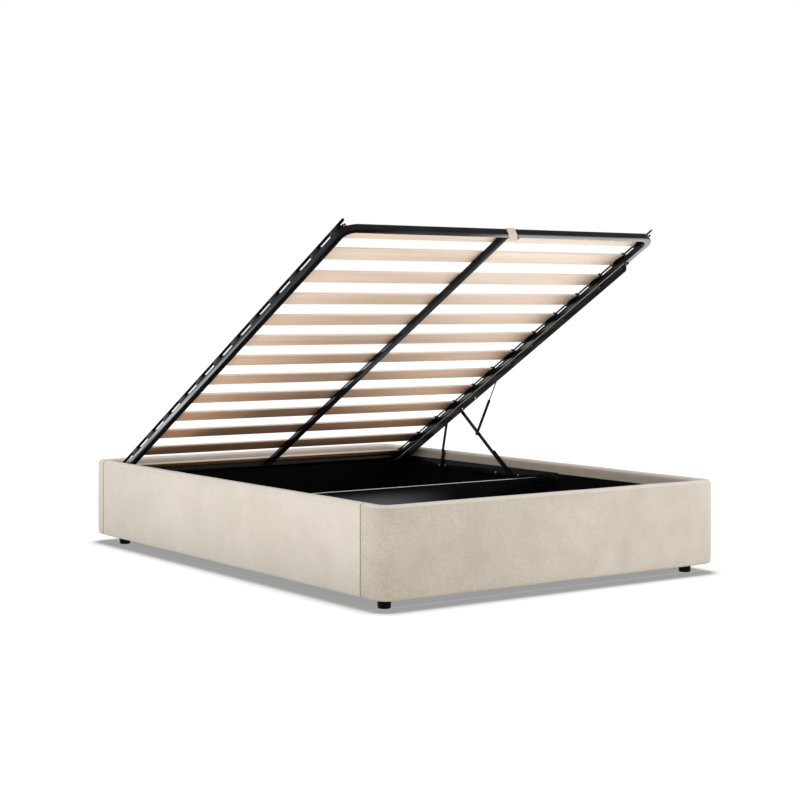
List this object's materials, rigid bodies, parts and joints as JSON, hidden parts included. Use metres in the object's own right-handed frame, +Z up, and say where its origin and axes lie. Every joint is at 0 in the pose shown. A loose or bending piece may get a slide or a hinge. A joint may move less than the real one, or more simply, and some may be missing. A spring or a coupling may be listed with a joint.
{
  "type": "ottoman storage bed",
  "caption": "Upholstered bed base with rounded corners and a sprung slat frame that lifts on hinges at the head, opening two storage bays.",
  "frame": {"origin": "on the floor, under the middle of the bed", "axes": "+Z up, +Y along the bed towards the head, +X to the right when looking towards the head"},
  "size_m": [1.46, 2.058, 1.2403],
  "materials": {
    "upholstery": "pale greige woven velvet",
    "black_board": "black faced hardboard",
    "softwood": "planed softwood",
    "black_plastic": "black moulded plastic",
    "black_steel": "gloss black powder coat",
    "zinc_steel": "bright steel",
    "birch": "birch plywood, lacquered",
    "webbing": "pale beige webbing"
  },
  "bodies": {
    "base": {"left_side_rail": "upholstery", "right_side_rail": "upholstery", "foot_rail": "upholstery", "head_rail": "upholstery", "left_liner": "black_board", "right_liner": "black_board", "foot_liner": "black_board", "head_liner": "black_board", "floor_panel_foot": "black_board", "floor_panel_head": "black_board", "cross_divider": "black_board", "corner_block_foot_left": "softwood", "corner_block_foot_right": "softwood", "corner_block_head_left": "softwood", "corner_block_head_right": "softwood", "floor_bearer_left": "softwood", "floor_bearer_right": "softwood", "centre_floor_beam": "softwood", "foot_front_left": "black_plastic", "foot_front_right": "black_plastic", "foot_rear_left": "black_plastic", "foot_rear_right": "black_plastic", "foot_middle_front": "black_plastic", "foot_middle_rear": "black_plastic", "left_rest_block": "softwood", "right_rest_block": "softwood", "left_hinge_bracket": "black_steel", "right_hinge_bracket": "black_steel", "left_hinge_pin": "zinc_steel", "right_hinge_pin": "zinc_steel", "mechanism_rail": "black_steel"},
    "lift_frame": {"perimeter_tube": "black_steel", "head_cross_tube": "black_steel", "centre_bar": "black_steel", "slat_01": "birch", "slat_02": "birch", "slat_03": "birch", "slat_04": "birch", "slat_05": "birch", "slat_06": "birch", "slat_07": "birch", "slat_08": "birch", "slat_09": "birch", "slat_10": "birch", "slat_11": "birch", "slat_12": "birch", "slat_13": "birch", "left_holder_strip": "black_plastic", "right_holder_strip": "black_plastic", "left_hinge_ear": "black_steel", "right_hinge_ear": "black_steel", "side_plate": "black_steel", "pull_strap": "webbing"},
    "front_lower": {"front_lower_arm": "black_steel"},
    "front_upper": {"front_upper_arm": "black_steel"},
    "rear_lower": {"rear_lower_arm": "black_steel"},
    "rear_upper": {"rear_upper_arm": "black_steel"},
    "rod": {"strut_rod": "zinc_steel"},
    "cylinder": {"strut_cylinder": "black_steel"}
  },
  "joints": [
    {"name": "lift", "type": "hinge", "parent": "base", "child": "lift_frame", "pos_m": [0, 0.874, 0.318], "axis": [1, 0, 0], "range_deg": [0, 29.58], "stiffness_Nm_per_rad": 300, "springref_deg": -57.3},
    {"name": "front_lower_turn", "type": "hinge", "parent": "base", "child": "front_lower", "pos_m": [0.688, 0.0952, 0.266], "axis": [1, 0, 0], "range_deg": [-106.16, 0]},
    {"name": "front_upper_turn", "type": "hinge", "parent": "lift_frame", "child": "front_upper", "pos_m": [0.683, 0.42251, 0.51218], "axis": [1, 0, 0], "range_deg": [-38.99, 0]},
    {"name": "rear_lower_turn", "type": "hinge", "parent": "base", "child": "rear_lower", "pos_m": [0.688, 0.5686, 0.2678], "axis": [1, 0, 0], "range_deg": [0, 214.95]},
    {"name": "rear_upper_turn", "type": "hinge", "parent": "lift_frame", "child": "rear_upper", "pos_m": [0.683, 0.5247, 0.45418], "axis": [1, 0, 0], "range_deg": [0, 27.52]},
    {"name": "strut_turn", "type": "hinge", "parent": "lift_frame", "child": "rod", "pos_m": [0.67395, 0.15982, 0.66359], "axis": [1, 0, 0], "range_deg": [0, 7.05]},
    {"name": "strut_slide", "type": "slide", "parent": "rod", "child": "cylinder", "axis": [0, -0.5059, 0.8626], "range_m": [0, 0.09682]}
  ],
  "couplings": [
    {"joint": "front_lower_turn", "follows": "lift", "ratio": -3.5885},
    {"joint": "front_upper_turn", "follows": "lift", "ratio": -1.3177},
    {"joint": "rear_lower_turn", "follows": "lift", "ratio": 7.2662},
    {"joint": "rear_upper_turn", "follows": "lift", "ratio": 0.93001},
    {"joint": "strut_turn", "follows": "lift", "ratio": 0.23799},
    {"joint": "strut_slide", "follows": "lift", "m_per_rad": 0.18752}
  ]
}
